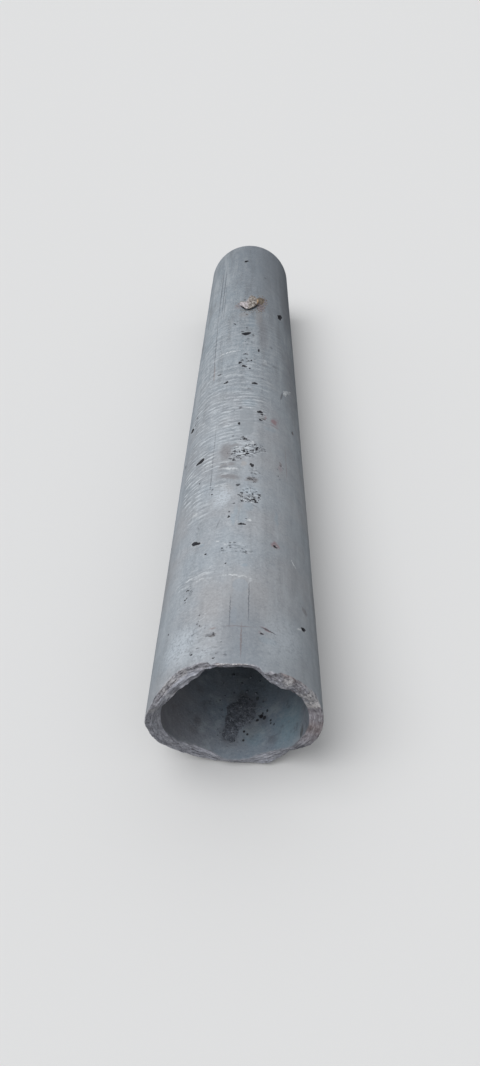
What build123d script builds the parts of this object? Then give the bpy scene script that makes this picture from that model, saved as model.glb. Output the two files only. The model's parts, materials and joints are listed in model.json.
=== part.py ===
"""Asbestos cement pressure pipe: one plain-ended length, sawn square at one end and broken at the other.

Millimetres. The pipe lies along Y on the plane Z = 0. Its broken end points to -Y and its sawn end to +Y,
and X = Y = 0 is the middle of its length. Angles round the wall are in degrees, clockwise from the top
of the pipe as seen from the broken end, so +90 is the +X side. Distances along it are from the tip of the
break.
"""

import os
from math import cos, radians, sin

from build123d import *

# Driving dimensions of the stock
BORE_DIAMETER = 312.0
WALL_THICKNESS = 30.5
OVERALL_LENGTH = 2936.0
SAWN_EDGE_BEVEL = 2.5

# The broken end, point by point round the wall: the angle, then how far the outer rim, the middle of the
# wall and the inner rim stand back from the tip of the break, in hundredths of the depth of the break
BREAK_DEPTH = 88.0
BREAK_PROFILE = [
    (-172, 100, 86, 76),
    (-158, 98, 95, 92),
    (-143, 91, 89, 95),
    (-128, 77, 75, 77),
    (-113, 58, 57, 61),
    (-97, 42, 41, 52),
    (-84, 24, 28, 52),
    (-73, 10, 19, 45),
    (-64, 0, 10, 31),
    (-57, 17, 14, 23),
    (-47, 25, 18, 24),
    (-36, 38, 24, 27),
    (-26, 37, 27, 37),
    (-17, 35, 34, 57),
    (-12, 26, 37, 55),
    (-3, 21, 35, 51),
    (6, 23, 36, 52),
    (14, 21, 34, 50),
    (19.5, 6, 17, 38),
    (26, 17, 16, 20),
    (35, 23, 16, 20),
    (45, 30, 23, 27),
    (55, 26, 28, 35),
    (68, 36, 36, 45),
    (80, 43, 43, 53),
    (93, 47, 45, 47),
    (105, 51, 50, 55),
    (117, 62, 58, 61),
    (129, 80, 68, 65),
    (138, 95, 82, 72),
    (147, 90, 85, 84),
    (158, 84, 86, 88),
    (170, 95, 85, 78),
]

# Outer skin flaked off along the rim of the break: from and to an angle, and how far along the pipe
FLAKE_DEPTH = 5.0
SKIN_FLAKES = [
    (23, 37, 25.0),
    (34, 50, 32.0),
    (47, 60, 30.0),
    (57, 67, 36.0),
]

# Layers of the wall split apart at the break: from and to an angle, depth below the outside, width of the
# gap, and how far along the pipe it reaches
SPLIT_LAYERS = [
    (-166, -149, 11.0, 2.8, 102.0),
    (-163, -147, 18.5, 2.4, 98.0),
]

# Gouges in the outside: angle, distance from the tip, width, length, depth, and the turn of the length
# away from the pipe's own direction
GOUGES = [
    (52.5, 201, 13, 19, 6, -65),
    (-33.6, 463, 15, 28, 6, 55),
    (2.7, 504, 11, 18, 5, 90),
    (9.6, 793, 12, 21, 4, 0),
    (-38.9, 874, 20, 39, 8, 58),
    (3.0, 937, 14, 19, 4, 10),
    (16.6, 1126, 18, 20, 6, 65),
    (-60.9, 1168, 22, 36, 8, 20),
    (11.2, 1327, 15, 25, 5, 80),
    (-18.6, 1347, 16, 17, 5, -70),
    (-0.1, 1460, 15, 22, 6, 0),
    (0.5, 1762, 32, 37, 9, 0),
    (45.8, 2084, 26, 58, 9, -15),
    (-3.4, 2674, 20, 28, 7, 0),
]

# Derived sizes
BORE_RADIUS = BORE_DIAMETER / 2
OUTSIDE_RADIUS = BORE_RADIUS + WALL_THICKNESS
MIDDLE_RADIUS = (BORE_RADIUS + OUTSIDE_RADIUS) / 2
AXIS_HEIGHT = OUTSIDE_RADIUS
SAWN_END_Y = OVERALL_LENGTH / 2
BREAK_TIP_Y = -OVERALL_LENGTH / 2
PIPE_AXIS = Axis((0, 0, AXIS_HEIGHT), (0, 1, 0))

# Cuts run on a little past the faces of the wall, so that they part it cleanly
PAST_THE_WALL = 1.0


def outward(angle):
    """The direction straight out of the wall at an angle."""
    return Vector(sin(radians(angle)), 0, cos(radians(angle)))


def rim(radius, setbacks):
    """One closed curve of the break, at one radius, through its own setbacks."""
    points = [
        outward(angle) * radius + Vector(0, BREAK_TIP_Y + setback * BREAK_DEPTH / 100, AXIS_HEIGHT)
        for angle, setback in setbacks
    ]
    return Edge.make_spline(points, periodic=True)


def section_at(angle):
    """The plane through the pipe's axis at an angle: its X runs along the pipe and its Y out of the wall."""
    return Plane(origin=(0, BREAK_TIP_Y, AXIS_HEIGHT), x_dir=(0, 1, 0), z_dir=Vector(0, 1, 0).cross(outward(angle)))


outer_rim = rim(OUTSIDE_RADIUS + PAST_THE_WALL, [(row[0], row[1]) for row in BREAK_PROFILE])
middle_rim = rim(MIDDLE_RADIUS, [(row[0], row[2]) for row in BREAK_PROFILE])
inner_rim = rim(BORE_RADIUS - PAST_THE_WALL, [(row[0], row[3]) for row in BREAK_PROFILE])
break_surface = Shell(
    [
        Face.make_surface_from_curves(outer_rim, middle_rim),
        Face.make_surface_from_curves(middle_rim, inner_rim),
    ]
)

# The blank is a plain tube, drawn on its sawn end and run out past the tip of the break
with BuildPart() as pipe:
    sawn_end = Plane(origin=(0, SAWN_END_Y, AXIS_HEIGHT), x_dir=(1, 0, 0), z_dir=(0, -1, 0))
    with BuildSketch(sawn_end):
        Circle(OUTSIDE_RADIUS)
        Circle(BORE_RADIUS, mode=Mode.SUBTRACT)
    extrude(amount=OVERALL_LENGTH + PAST_THE_WALL)

    outer_edge = pipe.edges().group_by(Axis.Y)[-1].sort_by(SortBy.RADIUS)[-1]
    chamfer(outer_edge, SAWN_EDGE_BEVEL)

    split(bisect_by=break_surface, keep=Keep.TOP)

    # Each flake leaves a slope that runs out to nothing on the outside
    for start, end, reach in SKIN_FLAKES:
        with BuildSketch(section_at(start)):
            with BuildLine():
                Polyline(
                    (0, OUTSIDE_RADIUS - FLAKE_DEPTH),
                    (reach, OUTSIDE_RADIUS),
                    (reach, OUTSIDE_RADIUS + PAST_THE_WALL),
                    (0, OUTSIDE_RADIUS + PAST_THE_WALL),
                    close=True,
                )
            make_face()
        revolve(axis=PIPE_AXIS, revolution_arc=end - start, mode=Mode.SUBTRACT)

    # Each split is a narrow slot that follows the layers round the wall
    for start, end, below_outside, gap, reach in SPLIT_LAYERS:
        with BuildSketch(section_at(start)):
            with Locations((reach / 2, OUTSIDE_RADIUS - below_outside)):
                Rectangle(reach, gap)
        revolve(axis=PIPE_AXIS, revolution_arc=end - start, mode=Mode.SUBTRACT)

    # Each gouge is an egg laid on the outside and sunk into it as deep as the gouge
    for angle, distance, width, length, depth, turn in GOUGES:
        half_width = (width**2 / 4 + depth**2) / (2 * depth)
        half_length = half_width * length / width
        middle = outward(angle) * (OUTSIDE_RADIUS - depth + half_width) + Vector(
            0, BREAK_TIP_Y + distance, AXIS_HEIGHT
        )
        lengthwise = Vector(0, 1, 0).rotate(Axis((0, 0, 0), outward(angle)), turn)
        with BuildSketch(Plane(origin=middle, x_dir=lengthwise, z_dir=lengthwise.cross(outward(angle)))):
            with BuildLine():
                EllipticalCenterArc((0, 0), half_length, half_width, start_angle=0, arc_size=180)
                Line((half_length, 0), (-half_length, 0))
            make_face()
        revolve(axis=Axis(middle, lengthwise), mode=Mode.SUBTRACT)

pipe.part.label = "pipe"

os.makedirs("parts", exist_ok=True)
export_step(pipe.part, "parts/pipe.step")
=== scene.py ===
"""The looks of a weathered asbestos cement pipe: one end broken ragged, the other sawn square.

Metres, in the frame's own axes: the pipe lies along Y with its broken end towards -Y. Marks on the wall are
placed by an angle in degrees, clockwise from the top as seen from the broken end, and by their distance in
millimetres from the tip of the break.
"""

import json
import math
import random

import bpy
import numpy as np
from mathutils import Matrix, Vector


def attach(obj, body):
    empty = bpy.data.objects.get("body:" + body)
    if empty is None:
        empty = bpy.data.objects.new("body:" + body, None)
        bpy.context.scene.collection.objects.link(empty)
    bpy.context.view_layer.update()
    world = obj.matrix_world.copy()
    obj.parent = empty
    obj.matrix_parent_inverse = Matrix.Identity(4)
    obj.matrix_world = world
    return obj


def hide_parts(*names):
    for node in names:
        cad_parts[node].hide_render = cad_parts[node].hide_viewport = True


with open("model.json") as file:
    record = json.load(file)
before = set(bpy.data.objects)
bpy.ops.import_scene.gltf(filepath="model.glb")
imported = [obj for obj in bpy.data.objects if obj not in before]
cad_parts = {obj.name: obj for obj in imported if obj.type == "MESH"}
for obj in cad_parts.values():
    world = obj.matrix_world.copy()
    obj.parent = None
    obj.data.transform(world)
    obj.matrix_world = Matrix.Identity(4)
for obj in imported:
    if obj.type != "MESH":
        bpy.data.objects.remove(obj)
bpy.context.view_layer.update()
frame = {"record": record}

MM = 0.001

# Sizes of the stock, from the frame's own mounts
mounts = {mount["name"]: mount for mount in frame["record"]["mounts"]}
OUTSIDE_RADIUS = mounts["spigot"]["dims"]["r_mm"] * MM
BORE_RADIUS = mounts["bore"]["dims"]["r_mm"] * MM
WALL = OUTSIDE_RADIUS - BORE_RADIUS
AXIS_HEIGHT = mounts["bore"]["pos_m"][2]
SAWN_END_Y = mounts["sawn_end"]["pos_m"][1]
BREAK_TIP_Y = -SAWN_END_Y
LENGTH = SAWN_END_Y - BREAK_TIP_Y
SAWN_EDGE_BEVEL = 2.5 * MM

# The broken end: the angle, then how far the outer rim, the middle of the wall and the inner rim stand back
# from the tip of the break, in hundredths of the depth of the break
BREAK_DEPTH = 88 * MM
BREAK_PROFILE = np.array([
    (-172, 100, 86, 76),
    (-158, 98, 95, 92),
    (-143, 91, 89, 95),
    (-128, 77, 75, 77),
    (-113, 58, 57, 61),
    (-97, 42, 41, 52),
    (-84, 24, 28, 52),
    (-73, 10, 19, 45),
    (-64, 0, 10, 31),
    (-57, 17, 14, 23),
    (-47, 25, 18, 24),
    (-36, 38, 24, 27),
    (-26, 37, 27, 37),
    (-17, 35, 34, 57),
    (-12, 26, 37, 55),
    (-3, 21, 35, 51),
    (6, 23, 36, 52),
    (14, 21, 34, 50),
    (19.5, 6, 17, 38),
    (26, 17, 16, 20),
    (35, 23, 16, 20),
    (45, 30, 23, 27),
    (55, 26, 28, 35),
    (68, 36, 36, 45),
    (80, 43, 43, 53),
    (93, 47, 45, 47),
    (105, 51, 50, 55),
    (117, 62, 58, 61),
    (129, 80, 68, 65),
    (138, 95, 82, 72),
    (147, 90, 85, 84),
    (158, 84, 86, 88),
    (170, 95, 85, 78),
], float)

# The outer rim where the photo shows it finely: the angle and its setback in mm
OUTER_EDGE = np.array([
    (-68, 4), (-64, 0.5), (-60, 10), (-57, 15.5), (-52, 18), (-47, 22), (-41, 28), (-36, 33), (-32, 34),
    (-26, 32), (-21, 32), (-17, 30.5), (-14.8, 28.7), (-13.9, 24.7), (-12.7, 23.5), (-9.6, 21.7),
    (-5, 19.5), (-1, 18.2), (3, 19.4), (8, 21), (12.6, 20), (14.8, 18.5), (17, 15.5), (18, 10), (19.4, 4.5),
    (22.4, 8), (26, 15.5), (30.6, 19), (35, 20), (40, 23), (45, 26), (48.5, 26), (55, 22.6), (60, 24.3),
    (68, 32), (73, 32), (81, 38.4),
], float)

# The inner rim where the photo shows it finely: the angle and its setback in mm
INNER_EDGE = np.array([
    (-36, 24), (-33.5, 27), (-29.6, 30.5), (-25.8, 33.5), (-23, 41.5), (-21, 47.5), (-18.9, 51),
    (-15.3, 51.5), (-11.8, 48.5), (-5, 42), (3, 45), (8.3, 45), (14.4, 45), (17.9, 42.5), (20.7, 38),
    (22.1, 30), (25.7, 22), (29.4, 20), (33.3, 20), (37.4, 18), (42.7, 22), (46.6, 28), (53.1, 32),
    (61, 37), (70, 41),
], float)

# Laminations of the wall, as the break shows them, and how they run down across it on the right of the top:
# the angle of the middle of that and how many degrees a layer takes
LAYERS = 12
LAYER_STEP = 2.0 * MM
SLANT_MIDDLE = 45
SLANT_PER_LAYER = 11

# Layers that have split apart: from and to an angle, share of the wall from the bore, gap and depth in mm
SPLITS = [
    (-166, -149, 0.64, 2.8, 16),
    (-163, -147, 0.39, 2.4, 14),
    (-58, -30, 0.62, 1.2, 2),
    (150, 168, 0.55, 1.4, 6),
]

# Outer skin flaked off along the rim of the break: from and to an angle, and how far along the pipe in mm
FLAKE_DEPTH = 5.0 * MM
FLAKED_WITHIN = 60 * MM
FLAKE_STEP_MM = 0.7
SKIN_FLAKES = [
    (23, 30, 17),
    (28, 38, 23),
    (34, 50, 27),
    (47, 60, 30),
    (57, 67, 38),
]

# Pits in the outer wall: angle, distance, size around, size along, depth, turn in degrees, and how dark the
# shade painted in it is
PITS = [
    (-33.6, 463, 14, 33, 6, 63, 1), (2.7, 504, 18, 11, 5, 0, 1), (6, 527, 7, 5, 2, 0, 0.6),
    (-7.5, 538, 6, 11, 4, 0, 0.9), (-4, 597, 6, 5, 2, 0, 0.8), (28.8, 440, 10, 12, 4, 0, 1),
    (-23.7, 400, 7, 6, 3, 0, 0.8), (-7.8, 347, 6, 5, 2, 0, 0.7), (-36.3, 289, 6, 6, 2, 0, 0.7),
    (-37.3, 259, 8, 6, 3, 0, 0.7), (-51, 179, 8, 6, 2, 30, 0.6), (52.5, 201, 20, 12, 6, 25, 1),
    (17.8, 118, 7, 7, 4, 0, 1), (-14.8, 112, 24, 13, 3, 10, 0.35), (-27, 66, 7, 6, 2, 0, 0.6),
    (-12, 41, 6, 5, 2, 0, 0.6), (-38.9, 876, 22, 36, 8, 74, 1), (-60.9, 1168, 22, 36, 8, 20, 1),
    (16.6, 1126, 20, 18, 6, -25, 1), (18.5, 1111, 8, 14, 3, 0, 0.9), (17.2, 1074, 10, 14, 5, 0, 1),
    (-2.9, 1036, 8, 17, 5, 0, 1), (-2, 1142, 14, 14, 2, 0, 0.45), (3, 939, 14, 17, 3, 10, 0.55),
    (9.6, 793, 12, 21, 4, 0, 0.75), (9, 719, 16, 14, 2, 0, 0.3), (-1.5, 686, 12, 16, 2, 0, 0.55),
    (-23, 684, 6, 6, 2, 0, 0.8), (-23, 661, 6, 6, 2, 0, 0.8), (11.2, 1327, 25, 15, 5, -10, 0.95),
    (-18.6, 1347, 17, 16, 5, 20, 0.9), (6, 1281, 15, 18, 2, 0, 0.35), (-0.3, 1460, 16, 22, 6, 30, 1),
    (-5, 1493, 14, 20, 4, 0, 0.8), (-2.7, 1512, 11, 11, 3, 0, 0.8), (4, 1505, 7, 9, 3, 0, 0.9),
    (7, 1512, 8, 13, 3, 0, 0.9), (5.5, 1443, 6, 12, 3, 0, 0.7), (0.8, 1566, 17, 12, 4, 0, 1),
    (-27.3, 1435, 17, 13, 2, 0, 0.55), (15, 1612, 8, 26, 3, 0, 1), (0.5, 1762, 32, 37, 9, 0, 1),
    (8.6, 1752, 8, 13, 4, 0, 1), (0.8, 1822, 6, 12, 3, 0, 0.6), (-13.7, 1876, 8, 22, 2, 30, 0.6),
    (-10.5, 1893, 7, 10, 2, 0, 0.5), (-0.3, 1968, 6, 12, 3, 0, 0.7), (45.8, 2084, 26, 68, 9, -15, 1),
    (-3.4, 2674, 20, 30, 7, 0, 1), (-66, 964, 12, 26, 2, 10, 0.5), (36.7, 846, 9, 9, 2, 0, 0.5),
    (33.7, 780, 7, 8, 2, 0, 0.4), (-36.7, 751, 7, 7, 2, 0, 0.6), (-54, 1219, 7, 26, 2, 15, 0.5),
    (-55, 1175, 10, 16, 2, 0, 0.5), (56, 1126, 14, 22, 2, 0, 0.4), (20.5, 1084, 12, 14, 2, 0, 0.4),
    (-8, 1127, 6, 5, 2, 0, 0.6), (2.6, 867, 10, 15, 3, 10, 0.8), (5.4, 854, 13, 12, 3, 0, 0.85),
    (3, 846, 8, 8, 2, 0, 0.7), (-5.5, 866, 16, 8, 2, 0, 0.6), (13.6, 888, 9, 22, 2.5, -10, 0.75),
    (12, 912, 6, 10, 2, 0, 0.8), (-6, 818, 9, 14, 2, 20, 0.6), (-9, 828, 14, 9, 2, 0, 0.45),
    (0, 822, 5, 6, 2, 0, 0.8), (-1, 840, 7, 8, 2, 0, 0.8), (8.3, 872, 7, 9, 2, 0, 0.7),
]

# Patches of many small pocks: angle, distance, half width in degrees, half length in mm, how many, and
# darkness, which also sets the shade painted in the pocks
POCKED_PATCHES = [
    (7.5, 612, 7.5, 12, 24, 1), (1.5, 640, 2.5, 14, 7, 0.9), (14, 632, 4, 20, 14, 0.9),
    (8.5, 625, 5, 16, 11, 0.8), (9, 662, 7, 16, 13, 0.7), (5, 868, 12, 42, 24, 0.9),
    (-4, 858, 8, 44, 12, 0.8), (14, 890, 8, 28, 14, 0.8), (2.5, 938, 5, 18, 8, 0.8),
    (11.5, 768, 4, 26, 8, 0.6), (9.5, 716, 5.5, 15, 8, 0.6), (-2, 408, 9, 20, 12, 0.55),
    (-10, 395, 4, 14, 5, 0.5), (7, 392, 6, 12, 7, 0.5), (-25, 110, 8, 55, 15, 0.4),
    (-36, 275, 4, 34, 10, 0.45), (-14, 62, 16, 26, 11, 0.4), (0, 1500, 7, 30, 10, 0.7),
    (4, 1700, 7, 70, 10, 0.6),
]

# Raised rings of the old winding: how far apart near the break and further off, and where they get too low
# to shape the mesh
RING_PITCH = 22 * MM
FAR_RING_PITCH = 37 * MM
RINGS_SHAPE_TO = 1.24

# Where the rings show: from and to a distance, from and to an angle, and height in mm
RING_ZONES = [
    (298, 334, -44, -20, 0.55),
    (556, 690, -46, -26, 0.55),
    (690, 800, -54, -14, 0.7),
    (800, 960, -56, -26, 0.7),
    (930, 1060, -54, -2, 0.75),
    (1060, 1240, -56, 20, 0.6),
    (1240, 1520, -54, 26, 0.48),
    (1520, 1900, -56, 44, 0.36),
]

# Each pocked patch is dark and scuffed over this width in mm for each degree of half its width, and over
# this length for each mm of half its length
PATCH_WIDTH_PER_DEGREE = 7.4
PATCH_LENGTH_PER_MM = 2.4

# Marks of all kinds: angle, distance, size around, size along, turn in degrees and strength. The stains,
# chips and scratches of the outside come first
WHITE_ZONES = [
    (-37, 105, 100, 130, 0, 0.5), (-14, 632, 62, 118, 0, 0.6), (3, 880, 78, 110, 0, 0.45),
    (-20, 60, 60, 50, 0, 0.3), (26, 90, 60, 90, 0, 0.25), (36, 130, 100, 150, 0, 0.4),
    (9, 660, 62, 44, 0, 0.35), (-33, 650, 60, 220, 0, 0.15), (-28, 960, 110, 120, 0, 0.1),
    (-22, 1165, 110, 90, 0, 0.08),
]
# Pale chips and scuffs, and painted highlights along some of the rings and on the far rims of some pits
PALE_CHIPS_AND_HIGHLIGHTS = [
    (-3, 302, 46, 6, -14, 0.9), (5.5, 296, 30, 4, -22, 0.5), (9.6, 284, 5, 34, 0, 0.4),
    (-27, 305, 36, 5, -3, 0.6), (-36, 325, 26, 5, -5, 0.6), (-30, 318, 30, 4, -5, 0.4),
    (-35, 339, 28, 6, -5, 0.35), (-40, 318, 20, 4, -5, 0.35), (47.5, 190, 26, 8, 35, 0.7),
    (7.5, 521, 22, 12, 0, 0.85), (-15.5, 438, 9, 8, 0, 0.8), (46, 413, 6, 30, 35, 0.8),
    (-22, 168, 20, 5, 30, 0.5), (-20, 180, 16, 5, 35, 0.4), (-26, 176, 10, 4, 30, 0.4),
    (-24, 320, 40, 4, -4, 0.45), (-33, 352, 30, 4, -6, 0.35), (-38, 300, 24, 4, -6, 0.4),
    (-8, 773, 42, 16, -10, 0.7), (0, 886, 50, 11, 14, 0.6), (-38, 862, 10, 8, 0, 0.8),
    (-17, 1603, 84, 12, -4, 0.9), (-34, 1580, 50, 14, -4, 0.5), (3, 1448, 12, 6, 20, 0.7),
    (22, 1520, 18, 40, 0, 0.25), (46.5, 1362, 18, 42, -20, 0.8), (49.5, 1386, 11, 46, -16, 0.55),
    (54, 1405, 9, 66, -20, 0.4), (47.5, 1348, 12, 14, 0, 0.5), (-9, 418, 16, 5, 0, 0.6),
    (1, 424, 20, 5, 0, 0.6), (-4, 430, 10, 4, 0, 0.5), (-16, 690, 50, 8, -10, 0.5),
    (-14, 812, 44, 10, -8, 0.6), (-38, 600, 24, 30, 0, 0.5), (4, 1142, 52, 6, 2, 0.6),
    (11, 975, 26, 10, 0, 0.3), (0, 880, 10, 12, 0, 0.7), (5, 902, 20, 9, 0, 0.7), (-3, 868, 30, 10, 0, 0.5),
    (7, 915, 34, 9, 6, 0.6), (-1, 912, 26, 8, 0, 0.5), (2, 850, 22, 8, 0, 0.5), (-5, 893, 8, 7, 0, 0.7),
    (9, 925, 9, 12, 0, 0.6),
]
COOL_ZONES = [
    (9, 660, 62, 44, 0, 0.45), (6, 1178, 60, 66, 0, 0.45), (3, 540, 30, 100, 0, 0.3),
    (6.5, 1890, 30, 145, 0, 0.5), (22, 100, 46, 22, 0, 0.45), (7, 585, 34, 52, 0, 0.4),
    (-3.5, 540, 16, 110, 0, 0.4), (30, 560, 14, 84, 0, 0.45), (5, 338, 20, 14, 0, 0.5),
    (-27.5, 440, 16, 20, 0, 0.45), (26, 1030, 52, 30, 0, 0.4), (17, 2480, 60, 500, 0, 0.25),
]
COOL_PATCHES = [
    (-0.5, 165, 16, 60, 0, 0.35), (3, 265, 38, 50, 0, 0.32), (3, 212, 38, 150, 0, 0.15),
]
WARM_ZONES = [
    (-16, 220, 80, 170, 0, 0.22), (4, 230, 150, 210, 0, 0.25), (-9.5, 670, 30, 62, 0, 0.2),
    (2.5, 795, 18, 34, 0, 0.5), (15, 1960, 34, 250, 0, 0.5), (-3, 1965, 56, 70, 0, 0.45),
    (17, 2125, 34, 180, 0, 0.6),
]
BROWN_MARKS = [
    (-14.5, 110, 24, 14, 10, 0.4), (9.5, 716, 42, 30, 0, 0.5), (20, 1085, 18, 16, 0, 0.6),
    (9.6, 794, 14, 16, 0, 0.7), (36, 855, 15, 16, 0, 0.5), (57, 1125, 16, 26, 0, 0.5),
    (5.5, 1280, 18, 20, 0, 0.25), (55, 270, 26, 22, 0, 0.4), (22, 1500, 22, 44, -20, 0.25),
    (-1.8, 1142, 16, 16, 0, 0.15),
]
BROWN_ZONES = [
    (-9.5, 733, 84, 30, -20, 0.6), (-13.5, 872, 44, 120, 0, 0.55), (-15, 790, 34, 50, 0, 0.5),
    (-8, 798, 28, 16, 0, 0.5), (-7, 903, 60, 18, 0, 0.5), (19, 1095, 26, 40, 0, 0.35),
    (20, 1780, 50, 420, 0, 0.4), (60, 1500, 110, 800, 0, 0.35), (62, 2350, 110, 900, 0, 0.45),
]
RUST_MARKS = [
    (17.5, 119, 15, 14, 0, 0.3), (28.8, 446, 26, 38, 0, 0.65), (27.6, 453, 14, 6, 20, 0.35),
    (31.4, 447, 6, 12, 0, 0.35), (25.8, 443, 5, 8, 0, 0.3), (31, 1092, 28, 36, 0, 0.75),
    (31, 1064, 32, 16, 0, 0.45), (36, 830, 16, 60, 0, 0.25), (21.5, 1098, 12, 40, 0, 0.5),
    (32.5, 1096, 28, 70, -10, 0.22), (21, 132, 40, 7, -14, 0.6), (17.5, 2070, 46, 130, 0, 0.6),
    (20, 2150, 50, 130, 0, 0.5), (-8, 2075, 60, 90, 0, 0.3),
]
RUST_LINES = [
    (4.6, 90, 4.5, 120, 0, 0.65), (3.5, 131, 70, 4, 0, 0.6), (-14, 129, 20, 5, 0, 0.45),
    (-34.2, 1470, 7, 180, 1, 0.45), (43, 880, 4, 230, 0, 0.4),
]
DARK_SPECKS = [
    (-7.5, 560, 5, 9, 0, 0.9), (33, 815, 6, 10, 0, 0.5), (38, 800, 8, 5, 0, 0.4), (35, 766, 5, 8, 0, 0.5),
    (39, 838, 6, 8, 0, 0.4), (22.4, 132, 40, 5, -14, 0.85), (-16.6, 109, 16, 4, 12, 0.7),
    (-13.2, 114, 5, 9, 0, 0.7), (-12.6, 106, 8, 4, 0, 0.6), (-4.2, 1782, 15, 13, 20, 0.9),
    (-36, 262, 6, 5, 0, 0.8), (-35, 287, 5, 5, 0, 0.8), (-24, 182, 5, 5, 0, 0.8), (-25, 155, 5, 5, 0, 0.8),
    (-23, 147, 4, 5, 0, 0.8), (3, 862, 7, 6, 0, 0.8), (21, 886, 9, 6, 0, 0.7), (18.2, 890, 7, 7, 0, 0.6),
    (-7.8, 957, 9, 7, 0, 0.6), (13, 913, 8, 10, 0, 0.6), (6.3, 931, 9, 8, 0, 0.6), (-6, 825, 6, 6, 0, 0.8),
    (7, 1680, 7, 9, 0, 0.8), (2, 1660, 6, 8, 0, 0.7), (6, 1810, 7, 9, 0, 0.7), (30, 1680, 13, 20, 0, 0.5),
    (12, 750, 9, 6, 0, 0.5), (16, 757, 9, 7, 30, 0.55), (13.5, 766, 12, 5, 0, 0.4),
    (1, 949, 14, 14, 0, 0.4), (33, 1520, 16, 24, 0, 0.4), (19, 1378, 10, 14, 0, 0.4),
    (24, 2470, 14, 22, 0, 0.7), (19, 2084, 8, 14, 0, 0.8), (19.3, 2048, 8, 12, 0, 0.8),
]
# Painted shadow in the hollows under the raised edges of the flake of mud
SHADOW_UNDER_MUD = [
    (-4.4, 2040, 9, 66, 21, 0.95), (0.6, 2012, 14, 10, 0, 0.9), (5.2, 2027, 9, 40, -41, 0.95),
    (11, 2066, 9, 58, -18, 0.95),
]
DARK_LINES = [
    (-25, 850, 3.5, 520, 0, 0.45), (-25, 728, 4, 130, 0, 0.6), (-36.5, 1700, 5, 680, 1, 0.7),
    (-30, 1650, 2, 500, 0, 0.4), (-25, 1600, 2, 420, 0, 0.35), (-38, 2330, 5.5, 800, 0, 0.7),
    (-33, 2340, 5.5, 820, 0, 0.7), (-30, 2200, 5, 600, 0, 0.5), (-3.2, 178, 2.6, 120, 0, 0.7),
    (9, 222, 2.6, 190, 0, 0.8), (0.2, 545, 1.8, 90, 0, 0.35), (-15.5, 512, 4, 44, -14, 0.45),
    (-32.5, 525, 4, 16, 20, 0.35), (41.5, 1318, 9, 84, -9, 0.8), (50.5, 1370, 4, 64, -20, 0.5),
    (12.5, 590, 24, 4, -30, 0.4), (46, 1352, 16, 6, 35, 0.7),
]

# Marks on the broken face
# Painted shade on the broken face, in its cracks and shaded parts, with some dirt
SHADE_AND_DIRT_ON_FACE = [
    (125, 60, 44, 60, 0, 0.6), (38, 46, 34, 12, -10, 0.6), (47, 50, 30, 10, -14, 0.5),
    (40, 40, 40, 9, -8, 0.4), (-5, 22, 12, 5, 0, 0.55), (5, 21.5, 16, 5, 0, 0.5),
    (10.5, 23, 12, 6, 10, 0.5), (-11, 25, 8, 6, 0, 0.4), (-41, 18.5, 100, 7, 6.5, 0.45),
    (-22, 27, 30, 7, 12, 0.4), (33, 21, 36, 9, -6, 0.2), (43, 26, 30, 8, -10, 0.2),
    (-49, 22, 22, 14, 0, 0.2),
]
BROWN_FACE = [
    (37, 30, 60, 26, 0, 0.5), (50, 36, 40, 26, 0, 0.35), (97, 46, 60, 40, 0, 0.3), (5, 24, 30, 16, 0, 0.4),
    (-9, 26, 20, 12, 0, 0.4),
]
# Pale patches on the broken face, and a painted highlight along the top of its outer rim
PALE_FACE_AND_HIGHLIGHT = [
    (0, 20, 90, 10, 0, 0.75), (70, 30, 40, 30, 0, 0.7), (-68, 10, 30, 26, 0, 0.3),
    (-52, 18, 26, 10, 10, 0.3), (-45, 26, 50, 8, 16, 0.35), (-34.5, 32, 24, 14, 0, 0.28),
    (-50, 25, 30, 14, 10, 0.35), (38, 18, 26, 11, 0, 0.4), (59, 27, 42, 26, 0, 0.45),
]

# Marks in the bore. Sizes round it are as they would be on the outside
BORE_COOL_ZONES = [
    (128, 120, 150, 180, 0, 0.6), (165, 130, 90, 90, 0, 0.4), (140, 90, 60, 60, 0, 0.4),
]
# Stains in the bore, and painted shade that darkens it further in
BORE_STAINS_AND_SHADE = [
    (-144, 158, 34, 44, 0, 0.5), (-150, 205, 26, 40, 0, 0.3), (113, 66, 22, 46, 16, 0.75),
    (166, 430, 170, 420, 0, 0.4), (-194, 430, 170, 420, 0, 0.4), (168, 200, 100, 190, 0, 0.35),
    (-192, 200, 100, 190, 0, 0.35), (172, 232, 120, 130, 0, 0.6), (-188, 232, 120, 130, 0, 0.6),
    (-173, 140, 64, 90, 0, 0.5), (187, 140, 64, 90, 0, 0.5), (157, 172, 44, 60, 0, 0.4),
    (148, 106, 40, 34, 30, 0.3), (-141, 124, 40, 30, 0, 0.35),
]
BORE_PALE_PLACE = [(168, 148, 70, 46, 0, 0.5)]
BORE_SPECKS = [
    (158.9, 187, 15, 15, 20, 1), (162.5, 178, 11, 9, 0, 0.9), (156, 180, 12, 14, 30, 0.9),
    (157.5, 195, 7, 8, 0, 0.8), (161, 191, 6, 6, 0, 0.7), (153.2, 199, 8, 11, 0, 0.8),
    (150.1, 166, 8, 8, 0, 0.9), (150.1, 157, 7, 7, 0, 0.8), (174.1, 149, 8, 8, 0, 1),
    (171.2, 140, 8, 8, 0, 0.9), (-177.6, 123, 7, 8, 0, 0.9), (174.5, 123, 8, 8, 0, 0.9),
    (146.9, 150, 7, 8, 0, 0.8), (162.4, 246, 12, 16, 0, 0.6), (115.5, 62, 6, 40, 14, 0.5),
]

# Smooth grey patches on the outside, and the dull top by the break
DULL_TOP = [(5, 90, 130, 520, 0, 0.5)]
FLAT_PATCHES = [
    (3.8, 1000, 46, 90, 0, 0.6), (3.8, 1050, 52, 110, 0, 0.6), (3.8, 1096, 46, 90, 0, 0.6),
    (-18, 1560, 70, 60, 0, 0.3),
]

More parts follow.
